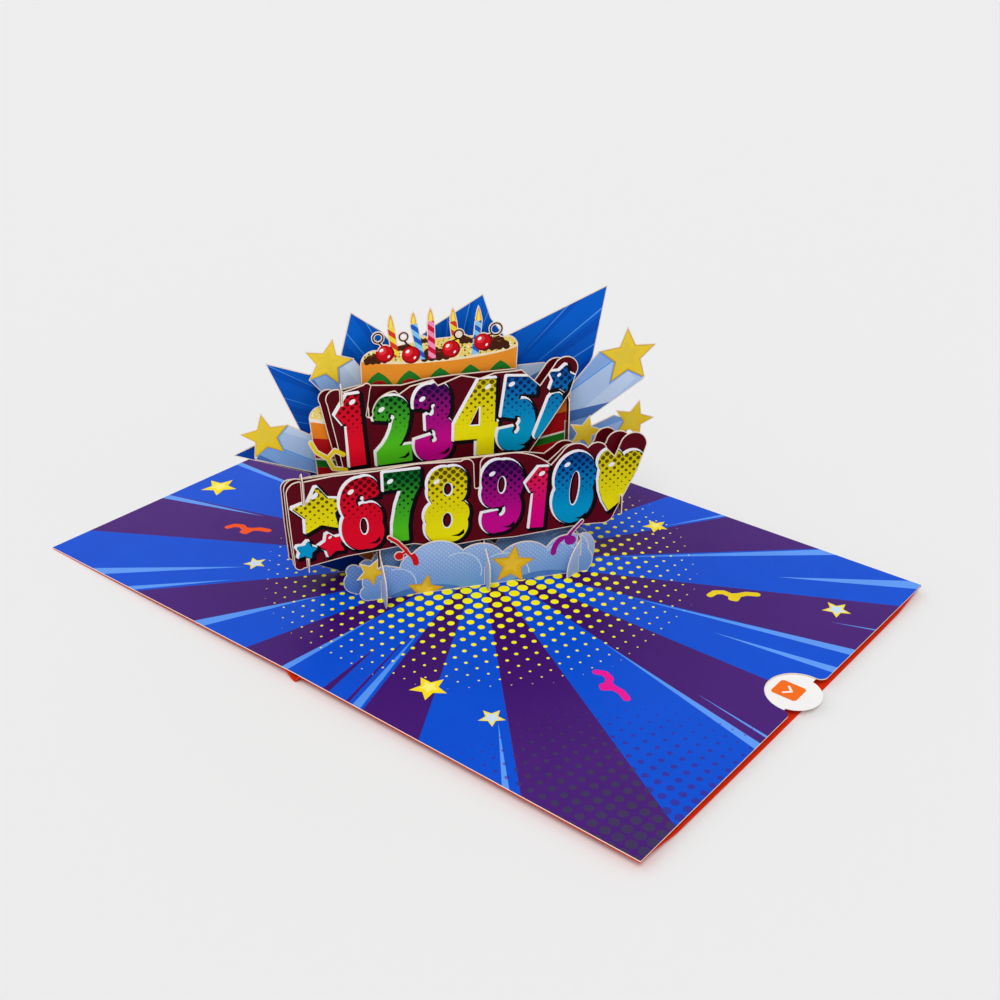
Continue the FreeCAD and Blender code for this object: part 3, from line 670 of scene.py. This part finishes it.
def figure(fill, loop, holes=(), shine=None, nicks=()):
    """One figure: black shadow, white edge, coloured face, openings, gleam and dark nicks."""
    layers = [(shade, [grown(loop, *by)]) for shade, *by in FIGURE_LAYERS]
    layers.append((fill, [grown(loop, FACE_GROWN)]))
    for hole in holes:
        layers += [(shade, [grown(hole, *by)]) for shade, *by in OPENING_LAYERS]
    if shine:
        layers.append(("white_ink", [oval(*shine)]))
    return layers + [("black_ink", [nick]) for nick in nicks]


def row_art(row, items):
    """Print of a row. Each item is a figure with its box, tilt and colour."""
    art = []
    for kind, box, tilt, colour in items:
        x0, x1, z0, z1 = box
        w = x1 - x0
        h = z1 - z0
        fill = row + "_" + colour
        if kind == "star":
            loop = star((x0 + x1) / 2, (z0 + z1) / 2 - 0.5, w * 0.52, 90 + tilt, 0.56)
            art += figure(fill, loop, shine=(x0 + 0.42 * w, z0 + 0.72 * h, 0.09 * w, 0.05 * w, 40))
            continue
        loop = placed(rounded(DIGITS[kind]), box, tilt)
        holes = [placed(hole, box, tilt) for hole in COUNTERS.get(kind, [])]
        shine_at = placed([SHINE_AT.get(kind, SHINE_ELSE)], box, tilt)[0]
        nicks = [placed(NICK, box, tilt)] if kind in NICKED else []
        art += figure(fill, loop, holes, (*shine_at, 1.35, 0.85, 35 + tilt), nicks)
    return art


lower_row = row_art("lower", [
    ("star", (-72.4, -53.8, 27.4, 55.6), 4, "yellow"),
    ("star", (-63.6, -54.6, 20.0, 33.0), 20, "red"),
    ("star", (-72.4, -65.8, 20.0, 30.6), -12, "blue"),
    ("6", (-54.0, -39.8, 22.8, 52.6), 2, "red"),
    ("7", (-38.4, -24.2, 24.2, 53.4), 0, "green"),
    ("8", (-22.4, -5.6, 21.6, 52.6), -2, "yellow"),
    ("9", (-0.2, 14.8, 22.6, 53.0), -3, "purple"),
    ("1", (16.2, 27.4, 22.6, 48.2), -4, "pink"),
    ("0", (29.6, 44.8, 22.6, 53.0), -5, "blue"),
    ("heart", (46.6, 63.0, 26.0, 53.0), -12, "yellow")])
upper_row = row_art("upper", [
    ("1", (-54.2, -41.6, 53.4, 82.0), 3, "red"),
    ("2", (-39.2, -25.4, 52.8, 79.8), 2, "green"),
    ("3", (-23.8, -9.4, 52.6, 82.8), 1, "purple"),
    ("4", (-8.0, 8.6, 52.2, 83.0), -2, "yellow"),
    ("5", (10.0, 24.2, 52.6, 82.4), -6, "blue")])
upper_row += figure("upper_blue", band((25.4, 57.6), (32.0, 71.6), 2.4, 5.0))
upper_row += figure("upper_blue", star(34.4, 80.2, 5.2, 74, 0.58), shine=(33.2, 82.0, 0.9, 0.6, 40))
upper_row.append(("streamer_yellow",
                  stroke([(-63.4, 64.6), (-61.6, 60.6), (-57.4, 57.4), (-54.6, 60.4), (-51.6, 58.4)], 2.0)
                  + stroke([(-57.4, 57.4), (-55.6, 53.0), (-51.0, 51.8)], 2.0)))


# The other prints

# Inks of a star's rim, face and core
CLOUD_STAR = ("gold_dark", "gold", "gold_pale")
TRAIL_STAR = ("trail_gold_dark", "trail_gold", "trail_gold_pale")
SHEET_STAR = ("sheet_star", "sheet_star", "sheet_star_light")
CLOUD_LINE, STREAMER = 0.45, 2.4                      # widths of lines on the clouds


def gold_star(cx, cz, r, first_deg, shades=CLOUD_STAR):
    """Star with a rim and a soft lighter core."""
    rim, face, core = shades
    return [(rim, [star(cx, cz, r, first_deg)]), (face, [star(cx, cz, r * 0.9, first_deg, 0.45)]),
            (core, [star(cx - 0.05 * r, cz + 0.05 * r, r * 0.5, first_deg, 0.5)])]


def puffs(*lines):
    """Pale curved lines on a cloud."""
    return ("cloud_line", [part for line in lines for part in stroke(rounded(line), CLOUD_LINE)])


cloud_front = [
    ("cloud_shade", [oval(-24, -3, 17, 6.5), oval(24, -4, 16, 7)]),
    puffs([(-37, 12.4), (-30, 10.6, -27.6, 5.0)], [(-14, 15.4), (-3.6, 13.4, -1.4, 4.6)],
          [(2.4, 12.4), (13.0, 12.0, 18.6, 3.0)], [(26.0, 12.0), (33.6, 14.4, 38.0, 6.0)])]
for cx, cz, r, first in ((-45.2, 12.6, 6.4, 62), (-24.2, 1.0, 7.8, 78), (11.6, 7.6, 9.2, 82)):
    cloud_front += gold_star(cx, cz, r, first)
red_line = rounded([(-37.4, 27.0), (-34.4, 24.6), (-32.8, 22.6, -31.4, 20.4), (-28.8, 18.2, -27.4, 14.2)])
purple_line = rounded([(40.3, 23.6), (37.2, 20.4), (34.4, 17.8), (30.4, 15.4, 28.6, 10.6)])
cloud_front += [
    ("streamer_red", stroke(red_line, STREAMER) + [oval(-33.9, 18.3, 2.5, 2.3)]
     + stroke([(-33.9, 18.3), (-31.0, 20.0)], STREAMER)),
    ("streamer_purple", stroke(purple_line, STREAMER) + [oval(35.6, 15.4, 2.4, 2.2)])]
cloud_second = [puffs([(-47, 11.4), (-42, 10.0, -40.6, 3.0)], [(30, 15.0), (38.0, 15.2, 41.0, 6.0)],
                      [(-26, 15.4), (-18.0, 16.0, -12.0, 8.0)])]

BURST_CENTRE = (-12.0, 52.0)


def spokes(name, centre, first, count, gap, start, end, wide):
    """Thin rays that widen outwards from uneven starts; first, gap and wide are in degrees."""
    loops = []
    for k in range(count):
        a = first + gap * k
        uneven = start * (1.0 + 0.25 * math.sin(7.3 * k))
        outer = [polar(centre, end, a - wide / 2), polar(centre, end, a + wide / 2)]
        loops.append([polar(centre, uneven, a)] + outer)
    return (name, loops)


burst = [spokes("burst_deep", BURST_CENTRE, first=-7, count=20, gap=10.4, start=24, end=130, wide=3.4),
         spokes("burst_light", BURST_CENTRE, first=-10, count=26, gap=7.9, start=40, end=130, wide=0.55)]


def trail(star_at, root, wide):
    """Light and dark bands that run from a star back to the middle and widen on the way."""
    dx, dz = root[0] - star_at[0], root[1] - star_at[1]
    n = math.hypot(dx, dz)
    px, pz = -dz / n, dx / n

    def strip(a, b, start=0.0):
        """Between a and b, in widths from the trail's axis; start is a share of its length."""
        sx, sz = star_at[0] + dx * start, star_at[1] + dz * start
        return [(sx + px * a * wide, sz + pz * a * wide), (sx + px * b * wide, sz + pz * b * wide),
                (root[0] + px * b * wide * 1.6, root[1] + pz * b * wide * 1.6),
                (root[0] + px * a * wide * 1.6, root[1] + pz * a * wide * 1.6)]
    return [("trail_mid", [strip(-1.4, -0.3)]), ("trail_deep", [strip(-1.4, -0.95)]),
            ("trail_line", [strip(-0.3, -0.24, 0.1)]), ("trail_light", [strip(0.5, 1.0, 0.05)])]


# Stars with trails: the star's centre, the trail's end and width, the star's radius and first point
TRAILS = [((-54.0, 92.3), (-30, 52), 8.0, 9.9, 4.3), ((-79.3, 65.0), (-40, 44), 8.0, 9.9, 24.4),
          ((64.3, 82.9), (20, 52), 10.0, 12.6, 20.2), ((67.9, 54.9), (30, 44), 7.5, 9.2, 2.0)]
trails = []
for star_at, root, wide, _, _ in TRAILS:
    trails += trail(star_at, root, wide)
for star_at, _, _, r, first in TRAILS:
    trails.append(("trail_line", [star(*star_at, r + 0.9, first)]))
    trails += gold_star(*star_at, r - 0.2, first, TRAIL_STAR)

# Cake: lower tier with bands that hang in the middle, upper tier, and what stands on it
LOWER_MID, LOWER_HALF, LOWER_FOOT = -12, 54, -8
SAG, SAG_STEPS = 6, 24
BANDS = [("cake_orange", 71.8), ("cake_red", 65.0), ("cake_icing", 56.8), ("cake_green", 56.0),
         ("cake_red", 53.0), ("cake_orange", 46.0), ("cake_side", 38.0)]
ICING_AT, ICING_WIDE = 72.0, 1.5
UPPER_LEFT, UPPER_RIGHT, UPPER_FOOT, UPPER_TOP = -42.6, 17.6, 76.0, 96.5
UPPER_MID, UPPER_HALF = (UPPER_LEFT + UPPER_RIGHT) / 2, (UPPER_RIGHT - UPPER_LEFT) / 2
PEAKS_APART = 11.8
# Chocolate on the top: centre and half width of each piece
BLOBS = [(-37.0, 93.6, 4.4), (-14.4, 93.2, 5.6), (9.0, 95.2, 5.6), (-26.0, 97.4, 3.2), (-3.0, 98.0, 3.4),
         (-18.6, 99.2, 2.0), (9.6, 97.4, 2.0)]
# Candles: foot, wick, height of the flame's tip, and colour
CANDLES = [(-29.3, 94.0, -30.6, 105.4, 111.3, "yellow"), (-19.4, 92.0, -22.1, 106.2, 111.3, "blue"),
           (-15.4, 92.0, -15.6, 106.8, 112.4, "pink"), (-5.9, 94.0, -7.1, 106.0, 111.8, "yellow"),
           (1.2, 92.0, 2.7, 105.2, 111.4, "blue")]
CANDLE_HALF = 1.4
# Curls: foot, centre and radius
CURLS = [(-33.0, 97.5, -35.6, 102.0, 2.5), (-23.6, 97.0, -26.0, 101.6, 2.2),
         (-9.0, 97.5, -5.0, 100.6, 2.3), (4.6, 99.0, 9.4, 101.4, 2.9)]
CHERRIES = [(-33.2, 95.6), (-23.4, 94.2), (-8.1, 95.0), (4.3, 96.7)]


def sag_line(z):
    return [(LOWER_MID - LOWER_HALF + 2 * LOWER_HALF * k / SAG_STEPS,
             z - SAG * math.sin(math.pi * k / SAG_STEPS)) for k in range(SAG_STEPS + 1)]


def below(z):
    """Lower tier's part below a hanging line."""
    return sag_line(z) + [(LOWER_MID + LOWER_HALF, LOWER_FOOT), (LOWER_MID - LOWER_HALF, LOWER_FOOT)]


icing = [(x, z + 0.5 * (k % 2)) for k, (x, z) in enumerate(sag_line(ICING_AT))]
cake = [(shade, [below(z)]) for shade, z in BANDS]
cake += [("cake_icing", stroke(icing, ICING_WIDE)),
         ("cake_side", [rect(UPPER_LEFT, UPPER_RIGHT, UPPER_FOOT, UPPER_TOP)])]
peaks, domes, cores = [], [], []
for k in range(-3, 4):
    x = UPPER_MID + PEAKS_APART * k
    top = 88.0 + 1.4 * (k / 3.0) ** 2
    peaks.append(rounded([(x - 6.4, top - 9.6), (x - 4.0, top - 3.4, x, top),
                          (x + 4.0, top - 3.4, x + 6.4, top - 9.6)]))
    domes.append(oval(x, top - 7.4, 3.7, 4.0))
    cores.append(oval(x, top - 7.6, 2.5, 2.9))
cake += [("cake_green", peaks), ("cake_red", domes), ("chocolate", cores),
         ("cake_rim", [oval(UPPER_MID, 95.0, UPPER_HALF + 1.5, 4.6, 0, 48)]),
         ("cake_top", [oval(UPPER_MID, 95.6, UPPER_HALF + 1.2, 4.3, 0, 48)])]
lumps, gleams = [], []
for k, (x, z, w) in enumerate(BLOBS):
    lumps.append(oval(x, z, w, w * 0.36))
    for j in range(3):
        rise = w * (0.18 + 0.09 * ((j + k) % 3))
        lumps.append(oval(x + w * (0.36 * j - 0.4), z + rise, w * 0.34, w * 0.26))
    for j in range(4):
        lumps.append(oval(x + w * (0.5 * j - 0.7), z - w * 0.22, w * 0.24, w * 0.2))
    gleams.append(oval(x - w * 0.3, z + w * 0.34, w * 0.2, w * 0.06, 18))
    gleams.append(oval(x + w * 0.28, z + w * 0.22, w * 0.16, w * 0.05, -8))
cake += [("chocolate", lumps), ("chocolate_light", gleams)]
for x0, z0, x1, z1, tip, colour in CANDLES:
    stick = [(x0 - CANDLE_HALF, z0), (x1 - CANDLE_HALF, z1),
             (x1 + CANDLE_HALF, z1 + 0.2), (x0 + CANDLE_HALF, z0)]
    belly = z1 + 0.38 * (tip - z1)
    outer = rounded([(x1, tip), (x1 + 0.9, belly + 1.0, x1 + 1.05, belly - 0.4),
                     (x1, z1 - 0.1, x1 - 1.05, belly - 0.4), (x1 - 0.9, belly + 1.0, x1, tip)])
    inner = [(x1 + (x - x1) * 0.55, z1 + (z - z1) * 0.7) for x, z in outer]
    cake += [("candle_" + colour, [stick]), ("flame_outer", [outer]), ("flame_inner", [inner])]
for x0, z0, x1, z1, r in CURLS:
    cake.append(("curl_ink", [band((x0, z0), (x1, z1 - r * 0.6), 0.65), oval(x1, z1, r - 0.25, r - 0.25)]))
    cake.append(("card_rim", [oval(x1, z1, r - 0.9, r - 0.9)]))
for x, z in CHERRIES:
    cake += [("cherry_dark", [oval(x, z, 3.55, 3.5)]), ("cherry", [oval(x - 0.2, z + 0.25, 3.05, 3.0)]),
             ("cherry_light", [oval(x - 0.9, z + 1.0, 1.7, 1.35, 35)]),
             ("white_ink", [oval(x - 1.25, z + 1.45, 0.82, 0.58, 35),
                            oval(x + 1.4, z - 1.25, 0.38, 0.62, -35)])]

# Inner sheet: rays from the middle, stars and streamers. The rays are blue and purple in turn, and
# each number is the direction, in degrees, where one starts, blue first.
RAY_STARTS = [73.0, 58.3, 43.1, 27.3, 14.4, 0.5, -12.5, -29.4, -44.8, -59.8, -71.8, -93.2, -104.7,
              -117.7, -132.1, -150.9, -164.8, -180, -195, -211, -227, -242, -256, -272]
RAYS_END = 260.0                                      # past the sheet's corners
# Thin light rays: direction, distance from the middle where they start, and width in degrees
SLIVERS = [(59.2, 84, 2.4), (41.9, 55, 2.3), (33.0, 121, 3.4), (20.4, 142, 1.2), (13.7, 66, 2.0),
           (8.4, 103, 2.8), (-12.8, 76, 1.9), (-10.5, 120, 1.1), (-46.6, 108, 2.2), (-73.4, 57, 3.1),
           (-93.2, 58, 3.0), (-117.7, 68, 4.4), (-133.2, 100, 2.6), (-139.0, 96, 3.0), (-164.0, 104, 2.4),
           (-180.0, 70, 1.6), (-194.0, 92, 2.2), (-210.0, 104, 2.4), (-228.0, 84, 2.6), (-243.0, 76, 1.8),
           (-256.0, 62, 2.4), (-274.0, 66, 1.4)]
# Thin dark ones: both directions, and the distance
DARK_SLIVERS = [(-79.4, -83.4, 72), (-75.1, -76.2, 48)]
# Stars: centre, radius and direction of the first point
SHEET_STARS = [(-138, -19, 8.5, 95), (41, 73, 5.8, 80), (44, -76, 7.2, 85)]
PALE_STARS = [(-71, -56, 5.0, 80), (132, 62, 5.8, 80), (72, -75, 5.0, 95), (-96, 70, 6.0, 86),
              (-60, 84, 4.6, 70)]
# Streamers: ink, centre and turn in degrees; each is a path with a hook
STREAMERS = [("streamer_orange", -96, -38, 12), ("streamer_yellow", 96, 46, 25),
             ("streamer_magenta", 93, -34, -35), ("streamer_yellow", -118, 52, -20)]
STREAMER_PATH = [(-9.2, -2.4), (-7.6, 0.2), (-4.4, 1.0), (-1.2, -0.6), (1.6, 0.4), (4.6, 2.2), (8.6, 2.6)]
STREAMER_HOOK = [(-1.0, -0.6), (-0.8, -3.0), (0.8, -3.2), (1.6, 0.4)]


def wedge(a, b, start=0.0):
    """Part of a ray between two directions in degrees, from a distance outwards."""
    steps = max(1, math.ceil(abs(a - b) / 10))
    far = [polar(MIDDLE, RAYS_END, b + (a - b) * k / steps) for k in range(steps + 1)]
    return [polar(MIDDLE, start, (a + b) / 2)] + far


ray_ends = RAY_STARTS[1:] + [RAY_STARTS[0] - 360]
purple_rays = [wedge(a, b) for a, b in zip(RAY_STARTS[1::2], ray_ends[1::2])]
sheet_art = [("ray_purple", purple_rays),
             ("ray_purple", [wedge(*sliver) for sliver in DARK_SLIVERS]),
             ("ray_light", [wedge(a + w / 2, a - w / 2, start) for a, start, w in SLIVERS])]
for x, y, r, first in SHEET_STARS:
    sheet_art += gold_star(x, y, r, first, SHEET_STAR)
for x, y, r, first in PALE_STARS:
    sheet_art += [("sheet_star", [star(x, y, r, first)]), ("sheet_star_pale", [star(x, y, r * 0.68, first)])]
for shade, x, y, turn in STREAMERS:
    sheet_art.append((shade, stroke(set_at(STREAMER_PATH, x, y, turn), 2.9)
                      + stroke(set_at(STREAMER_HOOK, x, y, turn), 2.6)))


def sheet_height(x, y):
    return SHEET_TOP if x >= 0 else SHEET_TOP + x * (SHEET_TOP - SHEET_LOW) / HALF_W


# The pieces

BASE = SHEET_TOP                                      # figures' heights are measured from the sheet
printed("inner_sheet", "inner_print", sheet_art, "ray_blue", RIGHT, DEEP, UP, 0.0, sheet_height,
        back="sheet_under", margin=0.0, folds=[((0, -HALF_H), (0, HALF_H))])
# Plates on the slant, printed alike on both sides where no back ink is named
for node, slot, art, ground, back in (
        ("cloud_front", "cloud_card", cloud_front, "cloud", None),
        # the second cloud's darker ground is painted shade
        ("cloud_second", "cloud_card", cloud_second, "cloud_rear_painted_shade", None),
        ("numeral_row_lower_front", "row_card", lower_row, "maroon", "maroon_back"),
        ("numeral_row_lower_middle", "row_card", [], "maroon", "maroon_back"),
        ("numeral_row_lower_back", "row_card", [], "maroon", "maroon_back"),
        ("numeral_row_upper_front", "row_card", upper_row, "maroon", "maroon_back"),
        ("numeral_row_upper_back", "row_card", [], "maroon", "maroon_back"),
        ("cake", "cake_card", cake, "cake_top", None),
        ("star_trails", "star_card", trails, "trail_pale", None),
        ("burst_back", "burst_card", burst, "burst_blue", None),
        ("small_star", "star_card", gold_star(45.0, 55.6, 7.2, 75, TRAIL_STAR), "trail_mid", None)):
    printed(node, slot, art, ground, lift=BASE, back=back)
# The slats are pale in front of the rows, dark red between them and blue behind.
ROWS_FRONT, ROWS_BACK = 15.8, -7.8
slat_art = [("maroon", [rect(-60, ROWS_FRONT, -10, 120)]), ("burst_blue", [rect(-60, ROWS_BACK, -10, 120)])]
for node in ("slat_left", "slat_middle", "slat_right"):
    printed(node, "cloud_card", slat_art, "leaf_blue", FACING, UP, -ALONG, BASE)
printed("leaf_right", "cloud_card", [], "leaf_blue", LEAF_ALONG, UP, LEAF_FACING, BASE)
for node in ("link_lower_left", "link_lower_right", "link_upper_left"):
    printed(node, "row_card", [], "maroon", FACING, UP, -ALONG, BASE)
tile = grown(rect(139.6, 145.6, 1.6, 6.8), 2.0)
arrow = stroke([(141.6, 6.4), (143.8, 4.2), (141.6, 2.0)], 0.9)
note_art = [("note_mark", [tile]), ("note_white", arrow)]
printed("note_card", "note_paper", note_art, "note_white", RIGHT, DEEP, UP,
        rim="note_white", thick=NOTE_T, margin=0.0, body="note")

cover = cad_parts["cover"]
cover.data.materials.clear()
cover.data.materials.append(inks["cover_linen"])

# Picture on the cover's front, which lies under the left panel: a gift on a jagged burst. Its points
# are measured from the spine towards the cover's outer edge, and up the cover.
INK_T = 0.03
GIFT_X, GIFT_Y = 80, 1                                # middle of the burst
JAGS, JAG_X, JAG_Y = 26, 50, 43                       # corners of its edge, and its half sizes
COVER_STARS = [(30, 52, 9.5, 84), (104, 55, 4.6, 96), (124, 47, 5.0, 76), (132, -28, 4.4, 90),
               (97, -52, 5.4, 82), (36, -40, 5.0, 100), (58, 60, 3.8, 90)]


def bow(rx, ry):
    return [oval(70, 26, rx, ry, -24), oval(90, 26, rx, ry, 24)]


jagged = []
for k in range(JAGS):
    a = math.tau * k / JAGS
    q = (1.0 + 0.16 * math.sin(2.3 * k)) if k % 2 == 0 else 0.66 + 0.05 * math.sin(1.7 * k)
    jagged.append((GIFT_X + JAG_X * q * math.cos(a), GIFT_Y + JAG_Y * q * math.sin(a)))
jagged_within = [(GIFT_X + (x - GIFT_X) * 0.86, GIFT_Y + (y - GIFT_Y) * 0.86) for x, y in jagged]
cover_loops = [jagged] + [star(x, y, r, first) for x, y, r, first in COVER_STARS]
box_side, box_lid = rect(60, 100, -24, 10), rect(56, 104, 10, 20)
gift = [("cover_blue_light", [jagged_within]),
        spokes("cover_streak", (GIFT_X, GIFT_Y), first=4, count=24, gap=15.0, start=34, end=60, wide=1.6),
        ("black_ink", [grown(box_side, 1.2), grown(box_lid, 1.2)] + bow(11.2, 7.2)),
        ("cake_red", [box_side]),
        ("cherry_light", [rect(62, 68, -22, 8)]),
        ("flame_outer", [box_lid]),
        ("flame_inner", [rect(58, 102, 16.4, 18.4)]),
        ("cake_green", [rect(76, 84, -24, 20)] + bow(10, 6)),
        ("cover_knot", bow(5.6, 2.6) + [rect(78, 80, -24, 20)]),
        ("flame_outer", [oval(80, 22.4, 4.4, 4.2)]),
        ("sheet_star", [oval(66 + 9 * j, -16 + 8 * i, 1.1, 1.1) for j in (0, 3) for i in range(3)])]
for x, y, r, first in COVER_STARS:
    gift += gold_star(x, y, r, first)


def cover_face(depth):
    return lambda p, q: Vector((-p, q, sheet_height(-p, q) - 2 * CARD_T - depth))


cover_loops = [loop if area(loop) > 0 else loop[::-1] for loop in cover_loops]
picture = layered("cover_picture", cover_loops, gift, "cover_blue", cover_face(INK_T), cover_face(0.0),
                  back="cover_blue", margin=0.0, rim="cover_blue")
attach(picture, "card")


# Light, floor and camera

BACKDROP = rgb(238, 238, 238)
SKY_GREY = (0.5, 0.5, 0.5, 1)
FLOOR_HALF = 6.0                                      # metres


def sun(name, strength, soft_deg, toward):
    data = bpy.data.lights.new(name, "SUN")
    data.energy = strength
    data.angle = math.radians(soft_deg)
    lamp = bpy.data.objects.new(name, data)
    lamp.rotation_euler = Vector(toward).to_track_quat("-Z", "Y").to_euler()
    bpy.context.collection.objects.link(lamp)


sun("key", strength=1.5, soft_deg=26, toward=(-0.42, 0.55, -1.0))
sun("fill", strength=0.4, soft_deg=60, toward=(0.6, 0.5, -0.8))

# The sky lights the card with grey, and is as pale as the floor where it is seen or mirrored.
world = bpy.data.worlds.new("studio")
scene.world = world
world.use_nodes = True
sky = world.node_tree.nodes
wires = world.node_tree.links


def either(first, second):
    made = sky.new("ShaderNodeMath")
    made.operation = "MAXIMUM"
    wires.new(first, made.inputs[0])
    wires.new(second, made.inputs[1])
    return made.outputs[0]


light_path = sky.new("ShaderNodeLightPath").outputs
seen_or_mirrored = either(light_path["Is Camera Ray"], light_path["Is Glossy Ray"])
tone = sky.new("ShaderNodeMix")
tone.data_type = "RGBA"
wires.new(either(seen_or_mirrored, light_path["Is Transmission Ray"]), tone.inputs[0])
tone.inputs[6].default_value = SKY_GREY
tone.inputs[7].default_value = BACKDROP
wires.new(tone.outputs[2], sky["Background"].inputs[0])
sky["Background"].inputs[1].default_value = 1.0

floor_net = Net("floor_paper")
floor_net.feed(floor_net.shader.inputs["Base Color"], BACKDROP)
floor_net.shader.inputs["Roughness"].default_value = 0.9
mesh = bpy.data.meshes.new("floor")
floor_corners = rect(-FLOOR_HALF, FLOOR_HALF, -FLOOR_HALF, FLOOR_HALF)
mesh.from_pydata([(x, y, 0) for x, y in floor_corners], [], [(0, 1, 2, 3)])
mesh.materials.append(floor_net.material)
floor = bpy.data.objects.new("floor", mesh)
bpy.context.collection.objects.link(floor)

# The view of the photograph; its place is in metres.
camera = bpy.data.cameras.new("view_cam")
camera.lens = 47.21
camera.sensor_width = 36.0
camera.clip_start = 0.01
eye = bpy.data.objects.new("view_cam", camera)
eye.location = (0.3030, -0.3519, 0.2815)
eye.rotation_euler = (math.radians(61.86), 0, math.radians(39.39))
bpy.context.collection.objects.link(eye)
scene.camera = eye
